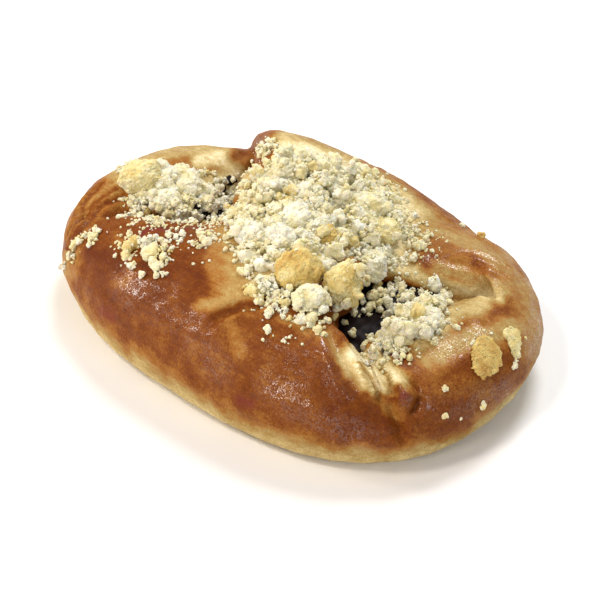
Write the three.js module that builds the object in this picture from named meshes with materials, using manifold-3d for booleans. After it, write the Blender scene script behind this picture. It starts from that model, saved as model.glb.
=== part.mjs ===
// A folded yeast pastry with dark jam and crumble, in millimetres, +Z up.
// An oval of dough carries a pad of jam. Its two long sides are folded over to the middle and
// pressed together there, so the jam shows in a window at each end of the fold. Crumble lies on
// top: three patches of fine crumbs, clumps as large as berries and two flat flakes.
// The origin is at the middle of the foot: +X runs along the pastry and +Y across it.
import * as THREE from "three";
import { mergeVertices } from "three/addons/utils/BufferGeometryUtils.js";
import Module from "manifold-3d";

// The oval plan of the whole pastry.
const oval = {
  halfLength: 65.5,
  halfWidth: 46,
  squareness: 2.4, // exponent of the superellipse: 2 is an ellipse
  nearTaper: 0.1, // the near side stands out by this share more at the +X end
  farTaper: 0.02,
  bow: -3, // sideways drift of both ends
};
const bulgeHeight = 11; // where the side stands out furthest
const footDepth = -12; // where the base would close below the table, before its foot is cut flat
const innerFloor = 3; // where the other lobes close, inside the base
const lipHeight = 28; // of the folded sides' inner edges, over the jam
const endTuck = 1; // of a lobe's two ends, inside the side of the base
const gap = 0.3; // between two pieces that touch
const weldDistance = 1e-4;

const wasm = await Module();
wasm.setup();

function welded(geometry) {
  const bare = geometry.clone();
  bare.deleteAttribute("normal");
  bare.deleteAttribute("uv");
  return mergeVertices(bare, weldDistance);
}

function solidOf(geometry) {
  const merged = welded(geometry);
  return new wasm.Manifold(
    new wasm.Mesh({
      numProp: 3,
      vertProperties: new Float32Array(merged.attributes.position.array),
      triVerts: new Uint32Array(merged.index.array),
    }),
  );
}

// The solid of the same skin moved outwards by the gap, which hollows a neighbour.
function hollowFor(geometry) {
  const skin = welded(geometry);
  skin.computeVertexNormals();
  const position = skin.getAttribute("position");
  const normal = skin.getAttribute("normal");
  const point = new THREE.Vector3();
  const out = new THREE.Vector3();
  for (let i = 0; i < position.count; i++) {
    point.fromBufferAttribute(position, i);
    out.fromBufferAttribute(normal, i);
    point.addScaledVector(out, gap);
    position.setXYZ(i, point.x, point.y, point.z);
  }
  return solidOf(skin);
}

function geometryOf(solid) {
  const { vertProperties, triVerts } = solid.getMesh();
  const geometry = new THREE.BufferGeometry();
  geometry.setAttribute("position", new THREE.BufferAttribute(vertProperties, 3));
  geometry.setIndex(new THREE.BufferAttribute(triVerts, 1));
  geometry.computeVertexNormals();
  return geometry;
}

const joined = (solids) => solids.reduce((whole, part) => whole.add(part));

// A cut can leave loose slivers: only the largest body is kept.
const largestBody = (solid) =>
  solid.decompose().reduce((best, body) => (body.volume() > best.volume() ? body : best));

// A closed skin through rings of points, listed from the lowest ring up, with a pole at each end.
function ringedSkin(rings, lowest, highest) {
  const around = rings[0].length;
  const points = [...rings.flat(), lowest, highest];
  const bottom = points.length - 2;
  const top = points.length - 1;
  const at = (ring, i) => ring * around + (i % around);
  const last = rings.length - 1;
  const triangles = [];
  for (let i = 0; i < around; i++) {
    for (let ring = 0; ring < last; ring++) {
      triangles.push(at(ring, i), at(ring, i + 1), at(ring + 1, i));
      triangles.push(at(ring, i + 1), at(ring + 1, i + 1), at(ring + 1, i));
    }
    triangles.push(bottom, at(0, i + 1), at(0, i));
    triangles.push(top, at(last, i), at(last, i + 1));
  }
  const geometry = new THREE.BufferGeometry();
  geometry.setAttribute("position", new THREE.Float32BufferAttribute(points.flat(), 3));
  geometry.setIndex(triangles);
  return geometry;
}

// Points along the smooth closed curve through a few given ones.
function closedLine(points, count) {
  const vectors = points.map(([x, y, z = 0]) => new THREE.Vector3(x, y, z));
  const curve = new THREE.CatmullRomCurve3(vectors, true, "centripetal");
  return curve.getPoints(count).slice(0, count);
}

function ovalPoint(degrees, inset = 0) {
  const angle = THREE.MathUtils.degToRad(degrees);
  const c = Math.cos(angle);
  const s = Math.sin(angle);
  const reach = (v, half) => Math.sign(v) * (half - inset) * Math.abs(v) ** (2 / oval.squareness);
  const x = reach(c, oval.halfLength);
  const along = x / oval.halfLength;
  const taper = s < 0 ? oval.nearTaper : oval.farTaper;
  const y = reach(s, oval.halfWidth) * (1 + taper * along);
  return [x, y + oval.bow * along * along, bulgeHeight];
}

// Points of the oval from one angle to another, both ends included and tucked inside the side.
function ovalArc(from, to, count, tuck = endTuck) {
  const step = (to - from) / (count - 1);
  const inset = (i) => tuck * Math.abs((2 * i) / (count - 1) - 1) ** 4;
  return Array.from({ length: count }, (_, i) => ovalPoint(from + i * step, inset(i)));
}

// A puffed lobe. Its rim is a closed line in space, and the skin arches from it up to the crown
// and down to the floor, as a superellipse in every cut through the centre. The crown is a plane
// that rises by the slope for each mm along X and along Y.
function lobeGeometry(lobe) {
  const { rim, centre, crown, slope = [0, 0], floor = innerFloor, roundness = 2.2 } = lobe;
  const { around, levels } = { around: 36, levels: 6, ...lobe.fineness };
  const [cx, cy] = centre;
  const edge = closedLine(rim, around);
  const arch = (level, end, tilt) => {
    const angle = (level / levels) * (Math.PI / 2);
    const share = Math.cos(angle) ** (2 / roundness);
    const lift = Math.sin(angle) ** (2 / roundness);
    return edge.map((p) => {
      const dx = (p.x - cx) * share;
      const dy = (p.y - cy) * share;
      const height = end + tilt[0] * dx + tilt[1] * dy;
      return [cx + dx, cy + dy, p.z + (height - p.z) * lift];
    });
  };
  const rings = [];
  for (let level = levels - 1; level > 0; level--) rings.push(arch(level, floor, [0, 0]));
  for (let level = 0; level < levels; level++) rings.push(arch(level, crown, slope));
  return ringedSkin(rings, [cx, cy, floor], [cx, cy, crown]);
}

const doughLobes = [
  {
    // base: its side shows below the folds
    rim: ovalArc(0, 345, 24, 0),
    centre: [0, -1],
    crown: 20,
    floor: footDepth,
    fineness: { levels: 5 },
  },
  {
    // near side, folded up and over
    rim: [
      ...ovalArc(-152, -36, 12),
      [48, -28, 14],
      [42, -26, 18],
      [34, -24, 23],
      [29, -19, 26],
      [25, -8, lipHeight],
      [18, 2, lipHeight + 1],
      [0, 5, lipHeight + 1],
      [-15, 1, lipHeight + 1],
      [-20, -9, lipHeight - 1],
      [-28, -15, 25],
      [-40, -18, 22],
      [-51, -20, 18],
    ],
    centre: [0, -22],
    crown: 33.5,
    slope: [0.03, 0],
  },
  {
    // far side, folded up and over
    rim: [
      ...ovalArc(44, 131, 9),
      [-36, 26, 25],
      [-28, 12, lipHeight],
      [-20, -2, lipHeight + 1],
      [0, -5, lipHeight],
      [15, -3, lipHeight - 2],
      [24, 5, 25],
      [31, 18, 22],
      [36, 28, 17],
    ],
    centre: [-6, 20],
    crown: 32,
    slope: [-0.2, 0],
  },
  {
    // far side's right end, a roll of its own
    rim: [
      ...ovalArc(12, 64, 8),
      [8, 32, 20],
      [8, 16, 22],
      [21, 6, 22],
      [30, 9, 21],
      [38, 14, 19],
      [48, 19, 15],
    ],
    centre: [32, 24],
    crown: 26,
    slope: [-0.02, 0],
    fineness: { around: 30, levels: 5 },
  },
  {
    // right end
    rim: [...ovalArc(-50, 40, 10), [43, 16, 17], [38, 4, 18], [38, -12, 18], [42, -24, 16]],
    centre: [48, -4],
    crown: 25,
    slope: [0.06, 0],
    fineness: { around: 30, levels: 5 },
  },
  {
    // left end
    rim: [...ovalArc(122, 214, 9), [-46, -20, 17], [-38, -10, 20], [-35, 2, 20], [-36, 18, 19]],
    centre: [-49, 3],
    crown: 27,
    slope: [-0.04, 0],
    fineness: { around: 30, levels: 5 },
  },
];

// Small pleats where the near fold runs out beside the right window.
const pleats = [
  { from: [35, -24, 22.5], to: [47, -32, 16], thick: 3.2 },
  { from: [39, -20, 22], to: [51, -29, 16.5], thick: 3 },
  { from: [47, -20, 22], to: [53, -26, 18.5], thick: 2.6 },
];

// A pleat is a long egg that lies from one point to another.
function pleatGeometry({ from, to, thick }) {
  const start = new THREE.Vector3(...from);
  const end = new THREE.Vector3(...to);
  const geometry = new THREE.SphereGeometry(1, 12, 8);
  geometry.rotateX(Math.PI / 2);
  geometry.scale(thick, thick, start.distanceTo(end) / 2 + thick);
  const turn = new THREE.Matrix4().lookAt(start, end, new THREE.Vector3(0, 0, 1));
  turn.setPosition(start.add(end).multiplyScalar(0.5));
  return geometry.applyMatrix4(turn);
}

// The jam: one flat pad that runs under the fold from window to window.
const jamLobe = {
  rim: [
    [44, -6, 16],
    [36, 14, 16],
    [10, 17, 15],
    [-22, 15, 16],
    [-40, 4, 17],
    [-33, -12, 17],
    [0, -18, 15],
    [34, -21, 16],
  ],
  centre: [2, -2],
  crown: 21.5,
  floor: 8,
  roundness: 2.8,
  fineness: { around: 24, levels: 4 },
};

// The pieces are laid one after another. Each is cut back to the gap from those already there.
const pastry = new THREE.Group();
const laid = [];

function lay(name, skins, look, cutters) {
  const whole = joined(skins.map(solidOf));
  const solid = largestBody(cutters.reduce((rest, cutter) => rest.subtract(cutter), whole));
  const mesh = new THREE.Mesh(geometryOf(solid), new THREE.MeshStandardMaterial(look));
  mesh.name = name;
  pastry.add(mesh);
  laid.push(joined(skins.map(hollowFor)));
}

const finish = {
  dough: { color: 0xb9691f, roughness: 0.4, metalness: 0 },
  jam: { color: 0x120a10, roughness: 0.2, metalness: 0 },
  crumble: { color: 0xe9dfae, roughness: 0.9, metalness: 0 },
  toasted: { color: 0xdfb565, roughness: 0.8, metalness: 0 },
};

function tableBlock() {
  const block = new THREE.BoxGeometry(400, 400, 100);
  block.translate(0, 0, -50);
  return solidOf(block);
}

const jamSkin = lobeGeometry(jamLobe);
const doughSkins = [...doughLobes.map(lobeGeometry), ...pleats.map(pleatGeometry)];
lay("jam", [jamSkin], finish.jam, []);
lay("dough", doughSkins, finish.dough, [...laid, tableBlock()]);

// The height of the dough or jam at a place of the plan, seen from above.
const looker = new THREE.Raycaster();
const bed = [...pastry.children];

function bedHeight(x, y) {
  looker.set(new THREE.Vector3(x, y, 100), new THREE.Vector3(0, 0, -1));
  const [first] = looker.intersectObjects(bed);
  return first ? first.point.z : 0;
}

// Smooth unevenness between about -1 and 1, at any point in space.
function unevenness(x, y, z, seed) {
  const a = Math.sin(1.9 * x + 1.3 * z + seed) * Math.cos(2.3 * y - 0.7 * x + 2 * seed);
  const b = Math.sin(3.7 * y + 2.9 * z - 3 * seed) * Math.cos(3.1 * x + seed);
  return 0.65 * a + 0.5 * b;
}

// A clump of crumble: a lumpy ball pressed a little into what it lies on.
const clumpShape = { lumps: 0.17, sunkShare: 0.22, fineFrom: 11 };

function clumpGeometry({ at, size }, seed) {
  const [x, y] = at;
  const geometry = new THREE.IcosahedronGeometry(1, size[0] < clumpShape.fineFrom ? 1 : 2);
  const position = geometry.getAttribute("position");
  for (let i = 0; i < position.count; i++) {
    const [px, py, pz] = [position.getX(i), position.getY(i), position.getZ(i)];
    const radius = 1 + clumpShape.lumps * unevenness(px, py, pz, seed);
    position.setXYZ(i, px * radius, py * radius, pz * radius);
  }
  geometry.scale(size[0] / 2, size[1] / 2, size[2] / 2);
  geometry.rotateZ(seed);
  geometry.translate(x, y, bedHeight(x, y) + size[2] * (0.5 - clumpShape.sunkShare));
  return geometry;
}

const clumps = [
  { name: "clump_left_end", at: [-47.5, -6.2], size: [10.5, 9.5, 9] },
  { name: "clump_left_near", at: [-38, -6.5], size: [7.5, 7, 7] },
  { name: "clump_left_far", at: [-38.3, 0.6], size: [7, 6.5, 6.5] },
  { name: "clump_left_window", at: [-32.4, 1.6], size: [6.5, 6, 5.5] },
  { name: "clump_middle", at: [1.7, -3], size: [9.5, 8, 7.5] },
  { name: "clump_near_left", at: [-2.8, -15.4], size: [7.5, 7, 6] },
  { name: "clump_near_right", at: [4.4, -12], size: [8, 7, 6.5] },
  { name: "clump_window_golden", at: [16.6, -20.4], size: [11, 10.5, 9], toasted: true },
  { name: "clump_window_block", at: [26, -15.2], size: [9, 9, 12] },
  { name: "clump_window_low", at: [24.4, -25], size: [8, 7, 6] },
  { name: "clump_window_corner", at: [21.6, 2.4], size: [7, 6.5, 6.5] },
  { name: "clump_yellow", at: [10.8, -3.4], size: [7, 6.5, 5.5], toasted: true },
  { name: "clump_far_long", at: [6.8, 17.6], size: [10.8, 8, 6.5] },
  { name: "clump_far_round", at: [15.8, 14.2], size: [7.5, 7, 6] },
  { name: "clump_far_top", at: [-1.9, 25.6], size: [6.5, 6.5, 5.5] },
  { name: "clump_right_end", at: [44.4, -6], size: [8, 7.5, 6] },
];

for (const [i, clump] of clumps.entries()) {
  const look = clump.toasted ? finish.toasted : finish.crumble;
  lay(clump.name, [clumpGeometry(clump, 1 + i)], look, laid);
}

// A drape: a skin that follows what is below it, from a sunk underside to an uneven top.
// The top comes down through the bed at the rim, late and steeply where the edge is a high number.
const drapeShape = { sunk: 1.8, rimDepth: 1.2 };

function drapeGeometry({ rim, centre, thick, edge, lumps, fineness }, seed) {
  const { around, levels } = { around: 20, levels: 4, ...fineness };
  const { sunk, rimDepth } = drapeShape;
  const outline = closedLine(rim, around);
  const pointAt = (p, share, rise) => {
    const x = centre[0] + (p.x - centre[0]) * share;
    const y = centre[1] + (p.y - centre[1]) * share;
    return [x, y, bedHeight(x, y) + rise];
  };
  const topAt = (p, share) => {
    const [x, y, z] = pointAt(p, share, (thick + rimDepth) * (1 - share ** edge) - rimDepth);
    return [x, y, z + lumps * (1 - share) * unevenness(0.3 * x, 0.3 * y, 0, seed)];
  };
  const rings = [];
  for (let level = 1; level <= levels; level++) {
    rings.push(outline.map((p) => pointAt(p, level / levels, -sunk)));
  }
  for (let level = levels; level > 0; level--) {
    rings.push(outline.map((p) => topAt(p, level / levels)));
  }
  return ringedSkin(rings, pointAt(outline[0], 0, -sunk), topAt(outline[0], 0));
}

const patches = [
  {
    name: "crumble_middle",
    rim: [
      [-14, -13],
      [4, -24],
      [16, -27],
      [23, -14],
      [17, -2],
      [21, 6],
      [20, 22],
      [6, 31],
      [-12, 29],
      [-27, 21],
      [-24, 10],
      [-18, 0],
    ],
    centre: [0, 3],
    thick: 3.4,
    edge: 3,
    lumps: 1.6,
  },
  {
    name: "crumble_left",
    rim: [
      [-29, -1],
      [-33, 6.5],
      [-43, 6.5],
      [-50, -2],
      [-46, -11],
      [-33, -11],
    ],
    centre: [-39, -1],
    thick: 2.4,
    edge: 2.5,
    lumps: 1,
  },
  {
    name: "crumble_right",
    rim: [
      [39, -4],
      [36, -12],
      [38, -20],
      [47, -15],
      [48, -4],
      [42, 5],
      [34, 8],
    ],
    centre: [42, -7],
    thick: 2.2,
    edge: 2.5,
    lumps: 0.8,
  },
];

for (const [i, patch] of patches.entries()) {
  lay(patch.name, [drapeGeometry(patch, 20 + i)], finish.crumble, laid);
}

// Flat toasted flakes that lie on the right end.
const flakes = [
  {
    name: "flake_large",
    rim: [
      [55.9, 1.4],
      [56.4, -4.4],
      [58.9, -8.8],
      [62.2, -11.4],
      [64.6, -10],
      [65, -3],
      [63.6, 1.4],
      [60, 2.5],
    ],
    centre: [60.6, -3.6],
  },
  {
    name: "flake_small",
    rim: [
      [58, 5.2],
      [60.6, 4],
      [64.2, 2.8],
      [64.9, 5],
      [63, 8],
      [60, 11.4],
      [57.8, 10.2],
    ],
    centre: [61, 6.6],
  },
];
const flakeShape = { thick: 1.2, edge: 9, lumps: 0.3, fineness: { around: 14, levels: 3 } };

for (const [i, flake] of flakes.entries()) {
  lay(flake.name, [drapeGeometry({ ...flake, ...flakeShape }, 30 + i)], finish.toasted, laid);
}

// The origin comes to the middle of the foot of everything laid.
const extent = new THREE.Box3().setFromObject(pastry);
const middle = extent.getCenter(new THREE.Vector3());
pastry.position.set(-middle.x, -middle.y, -extent.min.z);

export default pastry;
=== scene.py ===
import bmesh
import bpy
import math
import numpy as np
from mathutils import Matrix, Quaternion, Vector
from mathutils.bvhtree import BVHTree


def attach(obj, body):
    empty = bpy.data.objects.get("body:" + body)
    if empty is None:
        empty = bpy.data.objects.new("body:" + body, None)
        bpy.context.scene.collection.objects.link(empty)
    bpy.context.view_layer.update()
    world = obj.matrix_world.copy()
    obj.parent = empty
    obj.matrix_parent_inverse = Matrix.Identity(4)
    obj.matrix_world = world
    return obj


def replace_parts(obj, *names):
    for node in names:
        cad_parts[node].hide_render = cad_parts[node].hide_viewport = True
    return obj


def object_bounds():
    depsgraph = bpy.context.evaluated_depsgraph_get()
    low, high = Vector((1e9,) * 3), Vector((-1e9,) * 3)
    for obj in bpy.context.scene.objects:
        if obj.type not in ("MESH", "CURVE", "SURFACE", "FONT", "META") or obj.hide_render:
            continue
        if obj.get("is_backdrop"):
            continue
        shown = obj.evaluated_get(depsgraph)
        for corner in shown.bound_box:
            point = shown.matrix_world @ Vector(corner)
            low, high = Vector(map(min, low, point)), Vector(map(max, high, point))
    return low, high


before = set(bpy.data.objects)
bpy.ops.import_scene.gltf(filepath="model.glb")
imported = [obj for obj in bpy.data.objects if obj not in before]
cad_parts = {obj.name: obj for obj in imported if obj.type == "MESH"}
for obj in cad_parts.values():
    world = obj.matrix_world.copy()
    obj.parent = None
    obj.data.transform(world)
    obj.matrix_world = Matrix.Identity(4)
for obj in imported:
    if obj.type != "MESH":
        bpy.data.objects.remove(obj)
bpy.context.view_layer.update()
mm = 0.001  # everything below is said in millimetres and made in metres
scene = bpy.context.scene

# where each kind of random draw begins
seeds = {
    "dough": 11,
    "jam": 31,
    "ground": 41,
    "lumps": 60,
    "clumps": 100,
    "flakes": 140,
    "cores": 150,
    "crumbs": 160,
    "specks": 170,
    "smears": 180,
}

# the camera stands where the photograph was taken from
photo = {
    "pixels": 600,
    "azimuth": 40,
    "elevation": 36,
    "distance": 700,
    "pixelsPerMm": 3.95,  # at the middle of the foot
    "footPixel": (298.6, 327.8),  # where the middle of the foot falls
    "sensor": 36,
    "clipStart": 0.01,  # metres
}


def photoAxes():
    a = math.radians(photo["azimuth"])
    e = math.radians(photo["elevation"])
    right = Vector((math.cos(a), math.sin(a), 0))
    back = Vector((math.sin(a) * math.cos(e), -math.cos(a) * math.cos(e), math.sin(e)))
    return right, back.cross(right), back


# the place and turn of a camera or lamp that looks against a given way
def facing(place, way):
    return Matrix.Translation(place) @ way.to_track_quat("Z", "Y").to_matrix().to_4x4()


def makeCamera():
    right, up, back = photoAxes()
    half = photo["pixels"] / 2
    u, v = photo["footPixel"]
    aim = (right * (half - u) + up * (v - half)) * (mm / photo["pixelsPerMm"])
    place = back * photo["distance"] * mm
    data = bpy.data.cameras.new("camera")
    data.sensor_width = photo["sensor"]
    data.lens = photo["pixelsPerMm"] * photo["distance"] * photo["sensor"] / photo["pixels"]
    data.clip_start = photo["clipStart"]
    camera = bpy.data.objects.new("camera", data)
    camera.matrix_world = facing(place, place - aim)
    scene.collection.objects.link(camera)
    scene.camera = camera
    return camera


camera = makeCamera()


# the ray from the camera through a pixel of the photograph
def photoRay(u, v):
    half = photo["pixels"] / 2
    side = photo["sensor"] / photo["pixels"]
    turn = camera.matrix_world.to_3x3()
    ray = turn @ Vector(((u - half) * side, (half - v) * side, -camera.data.lens))
    return camera.matrix_world.translation, ray.normalized()


# where points, in millimetres, fall in the photograph
def pixelsOf(points):
    half = photo["pixels"] / 2
    turn = np.array(camera.matrix_world.to_3x3())
    seen = (points - np.array(camera.matrix_world.translation) / mm) @ turn
    reach = camera.data.lens / photo["sensor"] * photo["pixels"] / -seen[:, 2]
    return np.stack([half + seen[:, 0] * reach, half - seen[:, 1] * reach], axis=1)


studio = {
    "floorColour": (0.86, 0.86, 0.86, 1),
    "floorRoughness": 0.9,
    "floorReach": 3,  # metres
    "worldColour": (1.0, 1.0, 1.0, 1),
    "worldStrength": 0.405,
    "warm": (1.0, 0.9, 0.8),  # the colour of the near lamps
}

# the way to each lamp from the pastry, then its distance and size in metres
softboxes = {
    "topSoftbox": {"way": (-0.15, 0.52, 0.84), "distance": 1.1, "size": 0.45, "watts": 9.2},
    "leftSoftbox": {"way": (-0.81, -0.42, 0.42), "distance": 0.9, "size": 0.19, "watts": 2.8, "warm": True},
    "nearSoftbox": {"way": (-0.14, -0.5, 0.85), "distance": 0.9, "size": 0.185, "watts": 3.0, "warm": True},
    "lowSoftbox": {"way": (-0.1, -0.93, 0.32), "distance": 0.9, "size": 0.18, "watts": 2.4, "warm": True},
    "rightSoftbox": {"way": (0.8, -0.25, 0.5), "distance": 1.0, "size": 0.3, "watts": 1.5},
}


def makeStudio():
    world = bpy.data.worlds.new("studio")
    world.use_nodes = True
    sky = world.node_tree.nodes["Background"]
    sky.inputs["Color"].default_value = studio["worldColour"]
    sky.inputs["Strength"].default_value = studio["worldStrength"]
    scene.world = world
    for name, box in softboxes.items():
        data = bpy.data.lights.new(name, "AREA")
        data.shape = "DISK"
        data.size = box["size"]
        data.energy = box["watts"]
        if box.get("warm"):
            data.color = studio["warm"]
        lamp = bpy.data.objects.new(name, data)
        way = Vector(box["way"]).normalized()
        lamp.matrix_world = facing(way * box["distance"], way)
        scene.collection.objects.link(lamp)
    mesh = bpy.data.meshes.new("floor")
    reach = studio["floorReach"]
    corners = [(-reach, -reach, 0), (reach, -reach, 0), (reach, reach, 0), (-reach, reach, 0)]
    mesh.from_pydata(corners, [], [(0, 1, 2, 3)])
    floor = bpy.data.objects.new("floor", mesh)
    scene.collection.objects.link(floor)
    paper = bpy.data.materials.new("paper")
    paper.use_nodes = True
    shader = paper.node_tree.nodes["Principled BSDF"]
    shader.inputs["Base Color"].default_value = studio["floorColour"]
    shader.inputs["Roughness"].default_value = studio["floorRoughness"]
    mesh.materials.append(paper)
    floor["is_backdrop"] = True
    scene.view_settings.view_transform = "Standard"
    scene.view_settings.look = "None"


makeStudio()
print("camera and studio ready")


# one field of a mesh's parts as an array, with a row for each part
def arrayOf(parts, field, width, kind=float):
    flat = np.empty(len(parts) * width, dtype=kind)
    parts.foreach_get(field, flat)
    return flat.reshape(-1, width)


def pointsOf(mesh):
    return arrayOf(mesh.vertices, "co", 3) / mm


def edgesOf(mesh):
    return arrayOf(mesh.edges, "vertices", 2, np.int32)


def normalsOf(mesh):
    return arrayOf(mesh.vertex_normals, "vector", 3)


def facesOf(mesh):
    return arrayOf(mesh.loops, "vertex_index", 1, np.int32).reshape(len(mesh.polygons), -1)


def movePoints(mesh, points):
    mesh.vertices.foreach_set("co", (points * mm).ravel())
    mesh.update()


def writeMask(mesh, name, values):
    layer = mesh.attributes.new(name, "FLOAT", "POINT")
    layer.data.foreach_set("value", np.asarray(values, dtype=np.float32))


def readMask(mesh, name):
    return arrayOf(mesh.attributes[name].data, "value", 1, np.float32).ravel()


def smoothStep(low, high, values):
    t = np.clip((values - low) / (high - low), 0, 1)
    return t * t * (3 - 2 * t)


# the mean of each point's neighbours
def neighbourMean(values, edges):
    a, b = edges[:, 0], edges[:, 1]
    count = np.bincount(a, minlength=len(values)) + np.bincount(b, minlength=len(values))
    total = np.empty_like(values)
    for k in range(values.shape[1]):
        total[:, k] = np.bincount(a, values[b, k], len(values)) + np.bincount(b, values[a, k], len(values))
    return total / np.maximum(count, 1)[:, None]


# smoothing that keeps the volume: each round pulls in and then pushes back out
def melted(points, edges, rounds, amount=1.0):
    pull, push = 0.6, -0.62
    for step in range(rounds):
        points = points + pull * amount * (neighbourMean(points, edges) - points)
        points = points + push * amount * (neighbourMean(points, edges) - points)
    return points


def newPiece(name, mesh):
    piece = bpy.data.objects.new(name, mesh)
    scene.collection.objects.link(piece)
    return piece


# the mesh that a piece's modifiers make; the piece itself goes
def modified(piece):
    graph = bpy.context.evaluated_depsgraph_get()
    mesh = bpy.data.meshes.new_from_object(piece.evaluated_get(graph))
    bpy.data.objects.remove(piece)
    return mesh


# a mesh remade in small even faces
def remade(mesh, name, voxel):
    rough = newPiece("rough", mesh)
    remesh = rough.modifiers.new("remesh", "REMESH")
    remesh.mode = "VOXEL"
    remesh.voxel_size = voxel * mm
    fine = modified(rough)
    fine.name = name
    fine.materials.clear()
    fine.polygons.foreach_set("use_smooth", [True] * len(fine.polygons))
    return fine


def remadeNode(node, name, voxel):
    return remade(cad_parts[node].data.copy(), name, voxel)


# points along a smooth open line through a few given ones
def smoothLine(points, step=0.4):
    p = [np.asarray(q, float) for q in points]
    p = [2 * p[0] - p[1]] + p + [2 * p[-1] - p[-2]]
    line = []
    for a, b, c, d in zip(p, p[1:], p[2:], p[3:]):
        count = max(2, int(np.linalg.norm(c - b) / step))
        t = np.linspace(0, 1, count, endpoint=False)[:, None]
        square = 2 * a - 5 * b + 4 * c - d
        cube = 3 * b - a - 3 * c + d
        line.append(0.5 * (2 * b + (c - a) * t + square * t**2 + cube * t**3))
    return np.vstack(line + [p[-2][None]])


# the points near a line, how far they are from it and where along it (0 to 1) they lie
def nearLine(points, line, reach):
    low, high = line.min(0) - reach, line.max(0) + reach
    near = np.nonzero(((points > low) & (points < high)).all(1))[0]
    if not len(near):
        return near, np.zeros(0), np.zeros(0)
    gaps = np.linalg.norm(points[near][:, None] - line[None], axis=2)
    best = gaps.argmin(1)
    return near, gaps[np.arange(len(near)), best], best / max(1, len(line) - 1)


waveLook = {"perLayer": 7, "lengths": (0.8, 1.6), "phase": 6.3, "layerLevel": 2.6, "level": 1.75}


# layered smooth noise with values around -1 to 1, the same on every run
def waves(points, size, seed, layers=3):
    rng = np.random.default_rng(seed)
    total = np.zeros(len(points))
    weight = 1.0
    for layer in range(layers):
        part = np.zeros(len(points))
        for k in range(waveLook["perLayer"]):
            way = rng.normal(size=3)
            way *= 2 * math.pi / (size * rng.uniform(*waveLook["lengths"]) * np.linalg.norm(way))
            part += np.sin(points @ way + rng.uniform(0, waveLook["phase"]))
        total += weight * part / waveLook["layerLevel"]
        size *= 0.5
        weight *= 0.5
    return total / waveLook["level"]


# the points of a mesh moved in and out along their normals by smooth noise of a size and height
def roughen(mesh, size, height, seed):
    points = pointsOf(mesh)
    movePoints(mesh, points + normalsOf(mesh) * (height * waves(points, size, seed, 2))[:, None])


# the surface of a piece, to cast rays at
def surfaceOf(piece):
    return BVHTree.FromObject(piece, bpy.context.evaluated_depsgraph_get())


# where the ray through a pixel of the photograph meets a surface
def pixelHit(surface, pixel):
    start, way = photoRay(*pixel)
    place = surface.ray_cast(start, way)[0]
    return None if place is None else np.array(place) / mm


cameraPlace = np.array(camera.matrix_world.translation) / mm


def towardsCamera(place):
    way = cameraPlace - place
    return way / np.linalg.norm(way)


# how far a painted stroke reaches and where it fades, in widths; the rest in pixels
paintLook = {"reach": 1.6, "fade": (0.2, 1.55), "step": 3, "drift": 3}


# values painted as seen in the photograph, by strokes: a width in pixels, a value and pixels
def paint(values, pixels, strokes):
    low, high = paintLook["fade"]
    for width, value, *marks in strokes.values():
        line = np.asarray(marks, float)
        if len(line) > 1:
            line = smoothLine(line, paintLook["step"])
        near, gap, along = nearLine(pixels, line, paintLook["reach"] * width)
        cover = 1 - smoothStep(low * width, high * width, gap)
        values[near] += cover * (value - values[near])
    return values


# pixels moved about a little, so that painted edges come out uneven
def drifted(points, size, layers, seed):
    drift = np.stack([waves(points, size, seed + k, layers) for k in (0, 1)], axis=1)
    return pixelsOf(points) + paintLook["drift"] * drift


doughShape = {
    "voxel": 0.67,  # size of the faces, mm
    "meltRounds": 26,
    "lastRounds": 2,
    "flatFoot": (0, 6),  # the unevenness grows over these heights
    "swell": (26, 0.5),  # size and height of the large unevenness
    "dimples": (7, 0.16),
    "pocks": (2.2, 0.05),
}

# places where the folds are melted together further: pixel, reach in mm, rounds
doughMelts = {
    "nearFlapTip": ((374, 346), 7, 60),
    "farRollEnd": ((486, 280), 9, 80),
    "farRollMiddle": ((455, 280), 6, 30),
}

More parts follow.
